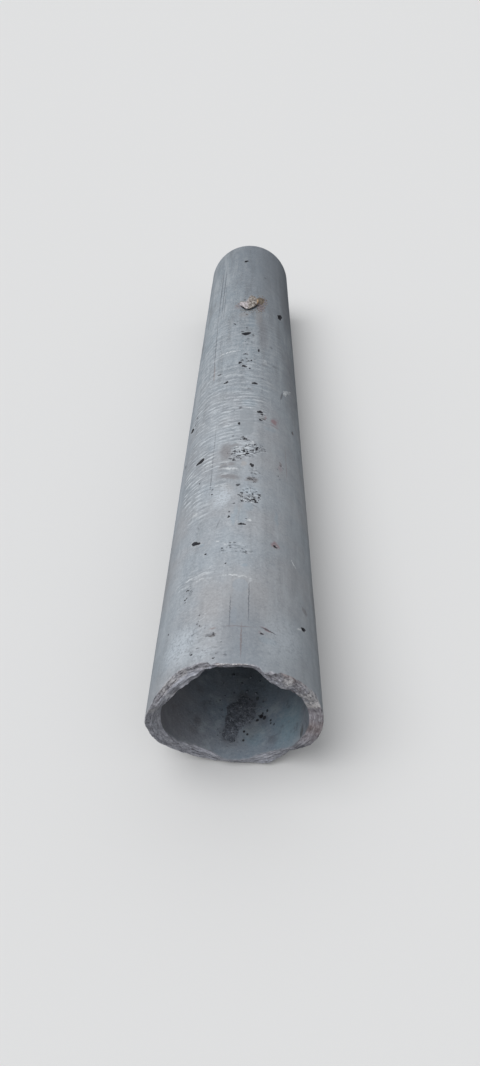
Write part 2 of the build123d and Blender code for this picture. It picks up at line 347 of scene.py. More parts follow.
# The soil lying in the bore: the angle and distance in mm of its outline and its middle, counted on past 180
SOIL_OUTLINE = np.array([
    (189, 231), (184, 247), (179.6, 259), (174, 274), (168.8, 257), (162, 240), (161.1, 214), (164.4, 191),
    (166.7, 174), (173.1, 164), (177.6, 155), (179.2, 139), (181.3, 126), (182.8, 113), (186.7, 110),
    (190.6, 119), (193.9, 135), (193.3, 149), (190.3, 165), (191.4, 181), (189.6, 202), (190.5, 223),
], float)
SOIL_MIDDLE = (183, 175)
SOIL_HEIGHT = 5.5 * MM

# Crumbs of soil in the bore: angle, distance and size in mm
SOIL_CRUMBS = [
    (197, 150, 4), (195, 140, 4), (196.5, 131, 3.5), (193, 118, 3.5), (188, 104, 3.5), (180, 108, 3),
    (193, 190, 5), (194, 210, 5), (159, 214, 5), (157, 230, 6), (164, 262, 7), (172, 274, 8), (184, 268, 6),
    (192, 256, 6), (196, 240, 5), (177, 300, 9), (169, 320, 7), (185, 330, 8), (174, 360, 9), (181, 392, 8),
    (166, 380, 6), (194, 300, 5), (160, 300, 6), (146.9, 150, 3), (177, 172, 4), (170, 180, 4),
]

# The flake of dried mud on top of the pipe: its outline from above in mm, to the right of the top and back
# from its near end, and below it the left edge of its thick slab and the crumbly dirt behind its right side
MUD_NEAR_END = 2010
MUD_MIDDLE = (8, 62)
MUD_OUTLINE = [
    (-2, 0), (12, 6), (27, 24), (42, 68), (41, 90), (31, 118), (14, 134), (5, 112), (-5, 84), (-27, 86),
    (-29, 52),
]
# Its heights in mm: the body, the rise of the left lobe, the rise of the slab at its near end and how much
# more at its far end, the least height, and the height above which only a share is kept
MUD_BODY = 9
LOBE_RISE = 3
SLAB_NEAR = 3
SLAB_FURTHER = 13
MUD_LEAST = 7
MUD_TALL = 16
TALL_SHARE = 0.42
SLAB_EDGE = [(17, 12), (0, 65), (8.5, 116), (12, 134)]
DIRT_MIDDLE = (56, 138)
DIRT_OUTLINE = [(44, 88), (60, 92), (73, 135), (71, 165), (58, 190), (44, 170), (38, 125)]

# Crumbs of it round about: to the right, back and size in mm
MUD_CRUMBS = [
    (-12, 4, 4), (-20, 12, 5), (-6, -6, 5), (3, -9, 4), (12, -4, 6), (20, 2, 5), (27, -2, 4), (33, 10, 6),
    (41, 22, 5), (52, 30, 6), (57, 8, 7), (49, 2, 5), (45, -8, 4), (62, 40, 5), (-34, 38, 4), (-38, 58, 5),
    (-16, -2, 4), (24, -14, 3.5), (8, -16, 4), (36, -2, 4), (66, 56, 5), (-27, 22, 4), (48, 46, 5),
    (2, -48, 5), (54, 56, 6), (60, 74, 5), (-24, 0, 4), (-10, -22, 4), (16, -24, 4), (38, -18, 4),
    (40, 36, 6), (46, 14, 5), (55, 20, 4), (64, 88, 6), (74, 108, 6), (80, 140, 5), (78, 165, 6),
    (70, 186, 5), (62, 200, 6), (50, 196, 5), (82, 120, 4), (70, 70, 5), (76, 90, 4), (46, 70, 5),
    (68, 24, 4), (60, -10, 4), (-44, 70, 5), (-36, 88, 5), (-10, 130, 4), (30, 138, 5),
]

# The camera, fitted to the photograph's frame of 480 x 1066 pixels
PHOTO_WIDTH_PX = 480
PHOTO_HEIGHT_PX = 1066
FOCAL_PX = 800
AXIS_VANISHES_AT_PX = (260.61, -26.54)
CAMERA_RIGHT_OF_AXIS = 0.0545
CAMERA_ABOVE_AXIS = 1.285
CAMERA_BEFORE_TIP = 1.1072

# The floor's colour as the camera sees it and as it throws light back, the sky, and how far the main light
# leans to the left in degrees
FLOOR_SIZE = 400
FLOOR_SEEN = (0.80, 0.80, 0.80)
FLOOR_BOUNCE = (0.16, 0.155, 0.15)
SKY_COLOUR = (0.97, 0.985, 1.0, 1.0)
SKY_STRENGTH = 0.42
KEY_LEAN = 24

# Fineness of the wall's mesh: base cells of about 16 mm, each halved up to this many times
COLUMNS = 72
OUTER_ROWS = 180
SAWN_ROWS = 2
BORE_ROWS = 45
BREAK_ROWS = 2
HALVINGS = 4
# Beside the rims: within how many mm of flaked and of plain skin, or of the inner rim, and how often halved
BESIDE_OUTER_RIM = [(36, 20, 2), (14, 10, 3), (3.2, 3.2, 4)]
BESIDE_INNER_RIM = [(40, 1), (8, 3), (2, 4)]
# Pits smaller than this many mm have the finest cells
SMALL_PIT = 9
FINEST = 2**HALVINGS
GRID_COLUMNS = COLUMNS * FINEST
GRID_ROWS = (OUTER_ROWS + SAWN_ROWS + BORE_ROWS + BREAK_ROWS) * FINEST


def lattice(cells, seed):
    """A fixed number from -1 to 1 for each whole-number cell of space."""
    x, y, z = (cells[..., axis].astype(np.int64) for axis in range(3))
    mixed = (x * 73856093) ^ (y * 19349663) ^ (z * 83492791) ^ (seed * 668265263)
    mixed = ((mixed ^ (mixed >> 13)) * 1274126177) & 0x7FFFFFFF
    mixed = ((mixed ^ (mixed >> 15)) * 2246822519) & 0x7FFFFFFF
    return (mixed >> 8) / float(0x7FFFFF) * 2 - 1


def value_noise(points, size, seed):
    """Smooth noise from -1 to 1 whose lumps are about size across."""
    scaled = np.asarray(points, float) / size
    cells = np.floor(scaled)
    part = scaled - cells
    part = part * part * (3 - 2 * part)
    total = 0.0
    for corner in range(8):
        offset = np.array([corner & 1, corner >> 1 & 1, corner >> 2 & 1])
        weight = np.prod(np.where(offset, part, 1 - part), axis=-1)
        total = total + weight * lattice(cells + offset, seed)
    return total


def rough_noise(points, size, seed, octaves=3):
    """Value noise with finer noise laid over it, each octave half as large and half as strong."""
    total = sum(
        value_noise(points, size / 2**octave, seed + octave) / 2**octave for octave in range(octaves)
    )
    return total / 1.5


def smooth_step(value, low, high):
    share = np.clip((value - low) / (high - low), 0, 1)
    return share * share * (3 - 2 * share)


def window(value, low, high, soft):
    """1 between low and high, falling to 0 over soft on each side."""
    return smooth_step(value, low - soft, low) * (1 - smooth_step(value, high, high + soft))


def turned(angle, centre):
    """The angle from a centre, taken the short way round."""
    return (angle - centre + 180) % 360 - 180


def on_wall(angle, radius, distance):
    """Points at an angle, a radius and a distance in metres from the tip of the break."""
    around = np.radians(angle)
    return np.stack(
        [
            radius * np.sin(around),
            BREAK_TIP_Y + distance,
            AXIS_HEIGHT + radius * np.cos(around),
        ],
        axis=-1,
    )


def plain_setback(angle, depth):
    """The setback of the break before its laminations, at an angle and a share of the wall from the bore."""
    outer, middle, inner = (
        np.interp(angle, BREAK_PROFILE[:, 0], BREAK_PROFILE[:, column], period=360) / 100 * BREAK_DEPTH
        for column in (1, 2, 3)
    )
    fine = np.interp(angle, OUTER_EDGE[:, 0], OUTER_EDGE[:, 1]) * MM
    outer = outer + window(angle, -66, 78, 3) * (fine - outer)
    fine = np.interp(angle, INNER_EDGE[:, 0], INNER_EDGE[:, 1]) * MM
    moved = window(angle, -33, 66, 3) * (fine - inner)
    inner, middle = inner + moved, middle + moved / 2
    # On the left of the top the outer two fifths of the wall stand back behind a clear step
    even = np.clip(depth * 2 - 1, 0, 1)
    wandering = 0.09 * rough_noise(on_wall(angle, OUTSIDE_RADIUS, np.zeros_like(angle)), 0.018, 7)
    stepped = smooth_step(depth + wandering, 0.52, 0.66)
    share = even + window(angle, -58, -19, 5) * (stepped - even)
    return np.where(depth < 0.5, inner + (middle - inner) * depth * 2, middle + (outer - middle) * share)


def coarseness(angle, depth):
    """1 where the break is coarse: the outer part of the wall on both sides of the top."""
    left = window(angle, -62, -16, 4) * smooth_step(depth, 0.50, 0.66)
    right = window(angle, 24, 64, 5) * (0.3 + 0.7 * smooth_step(depth, 0.25, 0.6))
    return np.maximum(left, right)


def setback(angle, depth):
    """How far the break stands back from its tip, at an angle and a share of the wall from the bore."""
    place = on_wall(angle, BORE_RADIUS + depth * WALL, np.zeros_like(angle))
    # Where the laminations run down across the wall, their steps are larger too
    slant = window(angle, 25, 63, 6)
    slipped = slant * (angle - SLANT_MIDDLE) / SLANT_PER_LAYER
    level = np.clip(depth, 0, 0.999) * LAYERS + slipped + 0.6 * value_noise(place, 0.04, 3)
    layer = np.floor(level)
    along_layer = place / 0.020
    along_layer[..., 1] = layer * 5.3 + 0.5
    steps = value_noise(along_layer, 1.0, 11)
    steps = steps + 0.6 * value_noise(along_layer * (2.7, 1, 2.7), 1.0, 12)
    steps = steps + 0.3 * value_noise(along_layer * (8.1, 1, 8.1), 1.0, 13)
    coarse = coarseness(angle, depth)
    top = window(angle, -14, 20, 4)
    left = window(angle, -62, -16, 4) * (1 - coarse)
    lumps = (0.8 + 1.0 * coarse + 1.1 * top + 0.7 * left) * MM * value_noise(place, 0.014, 17)
    grain = (0.6 + 0.8 * coarse + 0.9 * top + 0.6 * left) * MM * rough_noise(place, 0.0045, 21)
    back = plain_setback(angle, depth) + LAYER_STEP * (0.75 + 0.75 * slant) * steps + lumps + grain
    for start, end, share, gap, deep in SPLITS:
        middle_angle = (start + end) / 2
        along = window(turned(angle, middle_angle), (start - end) / 2, (end - start) / 2, 4)
        across = window((depth - share) * WALL, -gap / 2 * MM, gap / 2 * MM, 0.5 * MM)
        back = back + deep * MM * along * across
    return np.maximum(back, 0.0)


GRID_ANGLES = np.arange(GRID_COLUMNS) * 360.0 / GRID_COLUMNS - 180
OUTER_RIM = setback(GRID_ANGLES, np.ones(GRID_COLUMNS))
INNER_RIM = setback(GRID_ANGLES, np.zeros(GRID_COLUMNS))


def pit_shape(around, along, width, length, turn, place_seed):
    """How far out of a pit's middle a place lies, 1 at its irregular edge. Sizes in metres."""
    cosine, sine = math.cos(math.radians(turn)), math.sin(math.radians(turn))
    u = (around * cosine + along * sine) / (width / 2)
    v = (along * cosine - around * sine) / (length / 2)
    reach = np.hypot(u, v)
    bearing = np.arctan2(v, u)
    edge = (
        1
        + 0.18 * np.sin(bearing * 2 + place_seed * 1.7)
        + 0.14 * np.sin(bearing * 3 + place_seed * 2.9)
        + 0.08 * np.sin(bearing * 5 + place_seed * 4.1)
    )
    return reach / edge


def scattered_pocks():
    """The small pocks of each patch, as pits."""
    chance = random.Random(7)
    pocks = []
    for angle, distance, half_width, half_length, count, dark in POCKED_PATCHES:
        for _ in range(count):
            reach = math.sqrt(chance.random())
            bearing = chance.uniform(0, 2 * math.pi)
            size = chance.choice((3, 3.5, 4, 5, 6))
            pocks.append((
                angle + half_width * reach * math.cos(bearing),
                distance + half_length * reach * math.sin(bearing),
                size * chance.uniform(0.8, 1.5),
                size * chance.uniform(0.8, 1.4),
                0.35 * size,
                chance.uniform(0, 180),
                dark * chance.uniform(0.6, 1.0),
            ))
    return pocks


ALL_PITS = PITS + scattered_pocks()


def pit_reach(pit, margin):
    """How far from its middle a pit may reach round the wall and along it, with a margin."""
    width, length, turn = pit[2] * MM, pit[3] * MM, math.radians(pit[5])
    around = math.hypot(width * math.cos(turn), length * math.sin(turn)) / 2
    along = math.hypot(length * math.cos(turn), width * math.sin(turn)) / 2
    return 1.2 * around + margin, 1.2 * along + margin


def ring_height(angle, distance, place):
    """Height of the raised rings in metres, the turns that lie before a point, and how plain they are."""
    near, far = np.minimum(distance, RINGS_SHAPE_TO), np.maximum(distance - RINGS_SHAPE_TO, 0)
    turns = near / RING_PITCH + far / FAR_RING_PITCH
    turns = turns + 0.6 * value_noise(place, 0.13, 31) + 0.28 * value_noise(place, 0.05, 33)
    turns = turns + 0.7 * smooth_step(far, 0, 0.1) * value_noise(place, 0.09, 35)
    tall = np.zeros_like(angle)
    plain = np.zeros_like(angle)
    for start, end, low, high, height in RING_ZONES:
        inside = window(distance, start * MM, end * MM, 0.02) * window(angle, low, high, 6)
        tall = np.maximum(tall, inside * height * MM)
        plain = np.maximum(plain, inside * smooth_step(height, 0.0, 0.8))
    broken = 0.2 + 0.8 * smooth_step(rough_noise(place, 0.07, 37), -0.7, 0.2)
    wave = (0.5 + 0.5 * np.cos(turns * 2 * math.pi)) * (distance < RINGS_SHAPE_TO)
    return tall * broken * wave**3, turns, plain * broken


def flaked_skin(angle, distance, behind, place):
    """Depth in metres of the outer skin lost beside the break, in thin steps, and where it is lost."""
    lost = np.zeros_like(angle)
    ragged = rough_noise(place, 0.012, 47)
    for start, end, reach in SKIN_FLAKES:
        sideways = angle + 2.5 * ragged
        inside = smooth_step(sideways, start - 1, start + 1) * (1 - smooth_step(sideways, end - 1, end + 1))
        slope = 1 - distance / (reach * MM * (1.05 + 0.22 * ragged))
        lost = np.maximum(lost, inside * FLAKE_DEPTH * 1.35 * np.clip(slope, 0, 1))
    # Small scallops where the rim has chipped elsewhere
    nick = 4.5 * MM * (0.35 + value_noise(place, 0.024, 61))
    lost = np.maximum(lost, 0.9 * MM * (1 - smooth_step(behind, nick * 0.5, nick + 0.5 * MM)) * (nick > 0))
    uneven = 0.35 * rough_noise(place, 0.006, 53)
    steps = np.floor(lost / (FLAKE_STEP_MM * MM) + 0.5 + uneven) * FLAKE_STEP_MM * MM
    return 0.3 * lost + 0.7 * np.maximum(steps, 0), smooth_step(lost, 0.1 * MM, 0.6 * MM)


def wall_coordinates(column, row):
    """Angle, distance, radius and section of the wall at a place in its grid, counted in finest cells.

    Rows run from the outer rim along the outside, over the sawn end, back along the bore and out across the
    break. Section 0 is the outside, 1 the sawn end, 2 the bore and 3 the break."""
    base = row / FINEST
    over_outside = base / OUTER_ROWS
    over_sawn = base - OUTER_ROWS
    over_bore = (base - OUTER_ROWS - SAWN_ROWS) / BORE_ROWS
    depth = np.clip((base - OUTER_ROWS - SAWN_ROWS - BORE_ROWS) / BREAK_ROWS, 0, 1)
    section = np.select([over_outside < 1, over_sawn < SAWN_ROWS, over_bore < 1], [0, 1, 2], 3)
    angle = column * 360.0 / GRID_COLUMNS - 180
    outer_rim, inner_rim = OUTER_RIM[column], INNER_RIM[column]
    over_bevel = np.clip(over_sawn, 0, 1)
    over_face = np.clip(over_sawn - 1, 0, 1)
    bevel_start = LENGTH - SAWN_EDGE_BEVEL
    distance = np.select(
        [section == 0, section == 1, section == 2],
        [
            outer_rim + over_outside * (bevel_start - outer_rim),
            bevel_start + over_bevel * SAWN_EDGE_BEVEL,
            LENGTH + over_bore * (inner_rim - LENGTH),
        ],
    )
    broken = section == 3
    distance[broken] = setback(angle[broken], depth[broken])
    radius = np.select(
        [section == 0, section == 1, section == 2],
        [
            OUTSIDE_RADIUS,
            OUTSIDE_RADIUS - over_bevel * SAWN_EDGE_BEVEL - over_face * (WALL - SAWN_EDGE_BEVEL),
            BORE_RADIUS,
        ],
        BORE_RADIUS + depth * WALL,
    )
    return angle, distance, radius, section


def wanted_halvings():
    """How often the base cell is to be halved, at each corner of the finest grid."""
    column, row = np.meshgrid(np.arange(GRID_COLUMNS), np.arange(GRID_ROWS), indexing="ij")
    angle, distance, _, section = wall_coordinates(column, row)
    outside, bore = section == 0, section == 2
    wanted = np.zeros(section.shape, np.int8)
    for start, end, low, high, _ in RING_ZONES:
        lengthwise = (distance > start * MM) & (distance < min(end * MM, RINGS_SHAPE_TO))
        wanted[outside & lengthwise & (angle > low) & (angle < high)] = 2
    behind = distance - OUTER_RIM[column]
    flaked = (angle > SKIN_FLAKES[0][0] - 6) & (angle < SKIN_FLAKES[-1][1] + 6)
    for by_flakes, elsewhere, halvings in BESIDE_OUTER_RIM:
        wanted[outside & (behind < np.where(flaked, by_flakes, elsewhere) * MM)] = halvings
    behind = distance - INNER_RIM[column]
    for near, halvings in BESIDE_INNER_RIM:
        wanted[bore & (behind < near * MM)] = halvings
    wanted[section == 3] = HALVINGS
    for pit in ALL_PITS:
        small = max(pit[2], pit[3]) < SMALL_PIT
        reach_around, reach_along = pit_reach(pit, 0.3 * MM if small else 1.0 * MM)
        sideways = math.degrees(reach_around / OUTSIDE_RADIUS)
        columns = np.flatnonzero(np.abs(turned(angle[:, 0], pit[0])) < sideways)
        rows = np.flatnonzero(outside[0] & (np.abs(distance[columns[0]] - pit[1] * MM) < reach_along))
        square = np.ix_(columns, rows)
        wanted[square] = np.maximum(wanted[square], HALVINGS if small else HALVINGS - 1)
    return wanted


def wall_cells():
    """Square cells of the wall's grid: the first column, first row and size of each."""
    wanted = wanted_halvings()
    column, row = np.meshgrid(np.arange(COLUMNS), np.arange(GRID_ROWS // FINEST), indexing="ij")
    cells = np.stack([column.ravel(), row.ravel()], axis=1) * FINEST
    done = []
    for halving in range(HALVINGS):
        size = FINEST >> halving
        blocks = wanted.reshape(GRID_COLUMNS // size, size, GRID_ROWS // size, size).max(axis=(1, 3))
        split = blocks[cells[:, 0] // size, cells[:, 1] // size] > halving
        done.append(np.column_stack([cells[~split], np.full((~split).sum(), size)]))
        half = size // 2
        quarters = np.array([(0, 0), (half, 0), (0, half), (half, half)])
        cells = (cells[split][:, None, :] + quarters[None, :, :]).reshape(-1, 2)
    done.append(np.column_stack([cells, np.full(len(cells), 1)]))
    return np.concatenate(done)


def wall_faces(cells):
    """Corner places and faces of the wall. A cell beside smaller ones is a fan about its middle."""
    number = {}

    def corner(column, row):
        return number.setdefault((column % GRID_COLUMNS, row % GRID_ROWS), len(number))

    for column, row, size in cells.tolist():
        for across, along in ((0, 0), (size, 0), (size, size), (0, size)):
            corner(column + across, row + along)
    faces = []
    for column, row, size in cells.tolist():
        ring = []
        sides = ((0, 0, 1, 0), (size, 0, 0, 1), (size, size, -1, 0), (0, size, 0, -1))
        for start_column, start_row, step_column, step_row in sides:
            for step in range(size):
                place = (
                    (column + start_column + step * step_column) % GRID_COLUMNS,
                    (row + start_row + step * step_row) % GRID_ROWS,
                )
                if place in number:
                    ring.append(number[place])
        if len(ring) == 4:
            faces.append(tuple(ring))
        else:
            middle = corner(column + size // 2, row + size // 2)
            faces.extend((ring[i], ring[(i + 1) % len(ring)], middle) for i in range(len(ring)))
    return np.array(list(number)), faces


def relief(column, row):
    """Displaced points of the wall at places in its grid, with the masks that its material reads."""
    angle, distance, radius, section = wall_coordinates(column, row)
    place = on_wall(angle, radius, distance)
    outside, broken = section == 0, section == 3
    behind = distance - OUTER_RIM[column]
    lift = 0.35 * MM * value_noise(place, 0.16, 41) + 0.15 * MM * rough_noise(place, 0.04, 43)
    ring, turns, ringed = ring_height(turned(angle, 0), distance, place)
    lift = lift + ring
    pit = np.zeros_like(angle)
    pit_rim_highlight = np.zeros_like(angle)
    for index, spec in enumerate(ALL_PITS):
        reach_around, reach_along = pit_reach(spec, 4 * MM)
        near = np.flatnonzero(outside & (np.abs(distance - spec[1] * MM) < reach_along))
        around = np.radians(turned(angle[near], spec[0])) * OUTSIDE_RADIUS
        near, around = near[np.abs(around) < reach_around], around[np.abs(around) < reach_around]
        along = distance[near] - spec[1] * MM
        out = pit_shape(around, along, spec[2] * MM, spec[3] * MM, spec[5], index)
        shape = 1 - smooth_step(out, 0.55, 1.0)
        lift[near] -= shape * spec[4] * MM
        # How dark the painted shade in the pit is
        pit[near] = np.maximum(pit[near], (1 - smooth_step(out, 0.78, 1.08)) * spec[6])
        # A painted highlight round the pit's rim
        pit_rim_highlight[near] = np.maximum(pit_rim_highlight[near], window(out, 1.0, 1.12, 0.2) * spec[6])
    lost, flaked = flaked_skin(turned(angle, 0), distance, behind, place)
    lift = lift - np.where(behind < FLAKED_WITHIN, lost, 0)
    flaked = np.where(behind < FLAKED_WITHIN, flaked, 0)
    depth = np.clip((radius - BORE_RADIUS) / WALL, 0, 1)
    bore_lift = 0.15 * MM * rough_noise(place, 0.05, 59)
    outward = np.select(
        [outside, broken, section == 2],
        [lift, lift * depth + bore_lift * (1 - depth), bore_lift],
    )
    # How far the break lies behind its smooth setback, which the face's colour turns into painted shade in
    # its hollows
    recess_shade = np.where(broken, (distance - plain_setback(turned(angle, 0), depth)) / (4 * MM), 0)
    masks = {
        "pit": np.where(outside, pit, 0.0),
        "pit_rim_highlight": np.where(outside, pit_rim_highlight, 0.0),
        "turns": turns,
        "ringed": np.where(outside, ringed, 0.0),
        "broken": np.where(broken, 1.0, np.where(outside, flaked, 0.0)),
        "recess_shade": np.clip(recess_shade * 0.5 + 0.5, 0, 1),
        "bore": np.where(section == 2, 1.0, 0.0),
        "coarse": np.where(broken, coarseness(turned(angle, 0), depth), np.where(outside, flaked, 0.0)),
    }
    return on_wall(angle, radius + outward, distance), masks


def new_mesh(name, points, faces, masks=None):
    mesh = bpy.data.meshes.new(name)
    mesh.from_pydata([tuple(point) for point in points.tolist()], [], faces)
    mesh.update()
    for key, values in (masks or {}).items():
        mesh.attributes.new(key, "FLOAT", "POINT").data.foreach_set("value", values.astype(np.float32))
    piece = bpy.data.objects.new(name, mesh)
    bpy.context.scene.collection.objects.link(piece)
    return piece


def make_pipe():
    places, faces = wall_faces(wall_cells())
    points, masks = relief(places[:, 0], places[:, 1])
    pipe = new_mesh("pipe_wall", points, faces, masks)
    pipe.data.shade_smooth()
    pipe.data.set_sharp_from_angle(angle=math.radians(42))
    return pipe


def disc_faces(rings, spokes, first, flip):
    """Faces of a round grid of points: its middle is point first, and its rings follow."""
    faces = []
    for spoke in range(spokes):
        after = (spoke + 1) % spokes
        faces.append((first, first + 1 + spoke, first + 1 + after))
        for ring in range(rings - 1):
            inner = first + 1 + ring * spokes
            outer = inner + spokes
            faces.append((inner + spoke, outer + spoke, outer + after, inner + after))
    return [face[::-1] for face in faces] if flip else faces


def closed_lump(name, spread, top, bottom, rings, spokes, in_bore=False):
    """A closed lump over a round grid. Spread gives angle and distance for a share of the way out and a
    bearing, and top and bottom give radii there."""
    shares = np.concatenate([[0.0], np.repeat(np.arange(1, rings + 1) / rings, spokes)])
    bearings = np.concatenate([[0.0], np.tile(np.arange(spokes) * 2 * math.pi / spokes, rings)])
    angle, distance = spread(shares, bearings)
    upper = on_wall(angle, top(shares, bearings, angle, distance), distance)
    lower = on_wall(angle, bottom(shares, bearings, angle, distance), distance)[: -spokes]
    count = len(upper)
    faces = disc_faces(rings, spokes, 0, in_bore)
    under = disc_faces(rings, spokes, count, not in_bore)
    # The outermost ring of the underside is the rim of the top
    last_lower = count + 1 + (rings - 1) * spokes
    last_upper = 1 + (rings - 1) * spokes
    joined = [
        tuple(point - last_lower + last_upper if point >= last_lower else point for point in face)
        for face in under
    ]
    lump = new_mesh(name, np.concatenate([upper, lower]), faces + joined)
    lump.data.shade_smooth()
    return lump


def reach_of_outline(outline, middle):
    """How far an outline lies from its middle, as a function of the bearing. Both are in mm."""
    corners = np.array(outline, float) - middle
    after = np.roll(corners, -1, axis=0)
    shares = np.arange(8)[:, None, None] / 8
    points = (corners + shares * (after - corners)).reshape(-1, 2)
    bearings = np.arctan2(points[:, 1], points[:, 0])
    order = np.argsort(bearings)
    reaches = np.hypot(points[:, 0], points[:, 1])[order] * MM
    return lambda bearing: np.interp(bearing, bearings[order], reaches, period=2 * math.pi)


def make_soil():
    """Soil washed into the bottom of the bore, its edge and underside sunk a little into the wall."""
    per_degree = math.radians(1) * BORE_RADIUS / MM
    middle = (SOIL_MIDDLE[0] * per_degree, SOIL_MIDDLE[1])
    reach_at = reach_of_outline(SOIL_OUTLINE * (per_degree, 1), middle)

    def spread(share, bearing):
        circle = np.stack([np.cos(bearing), np.sin(bearing), bearing * 0], axis=-1)
        lobes, ragged = rough_noise(circle, 0.35, 67), rough_noise(circle, 0.09, 69)
        reach = reach_at(bearing) * (1 + 0.08 * lobes + 0.07 * ragged)
        sideways = share * reach * np.cos(bearing)
        return (
            SOIL_MIDDLE[0] + np.degrees(sideways / BORE_RADIUS),
            SOIL_MIDDLE[1] * MM + share * reach * np.sin(bearing),
        )

    def top(share, bearing, angle, distance):
        place = on_wall(angle, BORE_RADIUS, distance)
        clods = 0.75 + 0.6 * rough_noise(place, 0.018, 71) + 0.45 * rough_noise(place, 0.007, 73)
        height = SOIL_HEIGHT * (1 - share**1.6) * np.clip(clods, 0.05, 2)
        return BORE_RADIUS + 0.5 * MM * share**6 - height

    def bottom(share, bearing, angle, distance):
        return BORE_RADIUS + 0.6 * MM + 0 * share

    return closed_lump("soil_in_bore", spread, top, bottom, rings=28, spokes=128, in_bore=True)


def make_crumbs(name, places, radius, outward):
    """Small crumbs pressed a little into the wall, at angles, distances and sizes in mm. Outward is 1 on the
    outside of the wall and -1 in the bore."""
    sides = 7
    turns = [(step, (step + 1) % sides) for step in range(sides)]
    sphere = [(0, 0, 1)]
    for level in (0.55, -0.1, -0.75):
        flat = math.sqrt(1 - level * level)
        for step in range(sides):
            bearing = step * math.pi / (sides / 2)
            sphere.append((flat * math.cos(bearing), flat * math.sin(bearing), level))
    upper, middle, lower, last = (1 + ring * sides for ring in range(4))
    sphere = np.array(sphere + [(0, 0, -1)])
    ball = [(0, upper + here, upper + after) for here, after in turns]
    for ring, below in ((upper, middle), (middle, lower)):
        ball += [(ring + here, below + here, below + after, ring + after) for here, after in turns]
    ball += [(last, lower + after, lower + here) for here, after in turns]
    if outward < 0:
        ball = [face[::-1] for face in ball]
    points, faces = [], []
    for number, (angle, distance, size) in enumerate(places):
        lumpy = sphere * (1 + 0.25 * value_noise(sphere * 2 + number * 7.7, 1.0, 83)[:, None])
        local = lumpy * size / 2 * MM * (1, 1, 0.75)
        height = radius + outward * (0.2 * size * MM + local[:, 2])
        points.append(on_wall(angle + np.degrees(local[:, 0] / radius), height, distance * MM + local[:, 1]))
        faces += [tuple(point + number * len(sphere) for point in face) for face in ball]
    crumbs = new_mesh(name, np.concatenate(points), faces)
    crumbs.data.shade_smooth()
    return crumbs


def outlined_spread(outline, middle, ragged, seed):
    """The spread of a lump that lies on top of the pipe over an outline from above."""
    reach_at = reach_of_outline(outline, middle)

    def spread(share, bearing):
        circle = np.stack([np.cos(bearing), np.sin(bearing), bearing * 0], axis=-1)
        reach = share * reach_at(bearing) * (1 + ragged * rough_noise(circle, 0.30, seed))
        sideways = middle[0] * MM + reach * np.cos(bearing)
        distance = (MUD_NEAR_END + middle[1]) * MM + reach * np.sin(bearing)
        return np.degrees(np.arcsin(sideways / OUTSIDE_RADIUS)), distance

    return spread


def make_mud():
    """A curled flake of dried mud on top of the pipe. It lies on its middle, its near edges have lifted and
    its right side stands up as a thick slab."""

    def bottom(share, bearing, angle, distance):
        near = smooth_step(-np.sin(bearing), -0.55, 0.1)
        return OUTSIDE_RADIUS - 0.8 * MM + 6.0 * MM * near * smooth_step(share, 0.45, 0.9)

    def top(share, bearing, angle, distance):
        place = on_wall(angle, OUTSIDE_RADIUS, distance)
        across = np.sin(np.radians(angle)) * OUTSIDE_RADIUS / MM
        back = distance / MM - MUD_NEAR_END
        slab_left, slab_back = zip(*SLAB_EDGE)
        on_slab = smooth_step(across - np.interp(back, slab_back, slab_left), -4, 2)
        slab = on_slab * (SLAB_NEAR + SLAB_FURTHER * smooth_step(back, 15, 90))
        left = LOBE_RISE * smooth_step(-across, 0, 26)
        lumps = 2.0 * rough_noise(place, 0.016, 91) + 1.6 * rough_noise(place, 0.006, 93)
        height = (MUD_BODY + slab + left + lumps) * (1 - 0.25 * share**6)
        height = np.minimum(height, MUD_TALL + TALL_SHARE * (height - MUD_TALL))
        return OUTSIDE_RADIUS + np.maximum(height, MUD_LEAST) * MM

    spread = outlined_spread(MUD_OUTLINE, MUD_MIDDLE, ragged=0.05, seed=61)
    return closed_lump("dried_mud_flake", spread, top, bottom, rings=24, spokes=96)


def make_dirt():
    """Low crumbly dirt beside the flake, its edge and underside sunk a little into the wall."""

    def bottom(share, bearing, angle, distance):
        return OUTSIDE_RADIUS - 0.8 * MM + 0 * share

    def top(share, bearing, angle, distance):
        place = on_wall(angle, OUTSIDE_RADIUS, distance)
        clods = 0.5 + 1.0 * rough_noise(place, 0.012, 95) + 0.5 * rough_noise(place, 0.005, 96)
        return OUTSIDE_RADIUS - 0.5 * MM * share**4 + 5 * MM * (1 - share**1.5) * np.clip(clods, 0.05, 2)

    spread = outlined_spread(DIRT_OUTLINE, DIRT_MIDDLE, ragged=0.40, seed=62)
    return closed_lump("dirt_by_flake", spread, top, bottom, rings=16, spokes=84)


def srgb(red, green, blue):
    """A colour given in 0 to 255 as the eye sees it, as the linear one that a shader takes."""
    def linear(value):
        value = value / 255
        return value / 12.92 if value <= 0.04045 else ((value + 0.055) / 1.055) ** 2.4

    return (linear(red), linear(green), linear(blue))


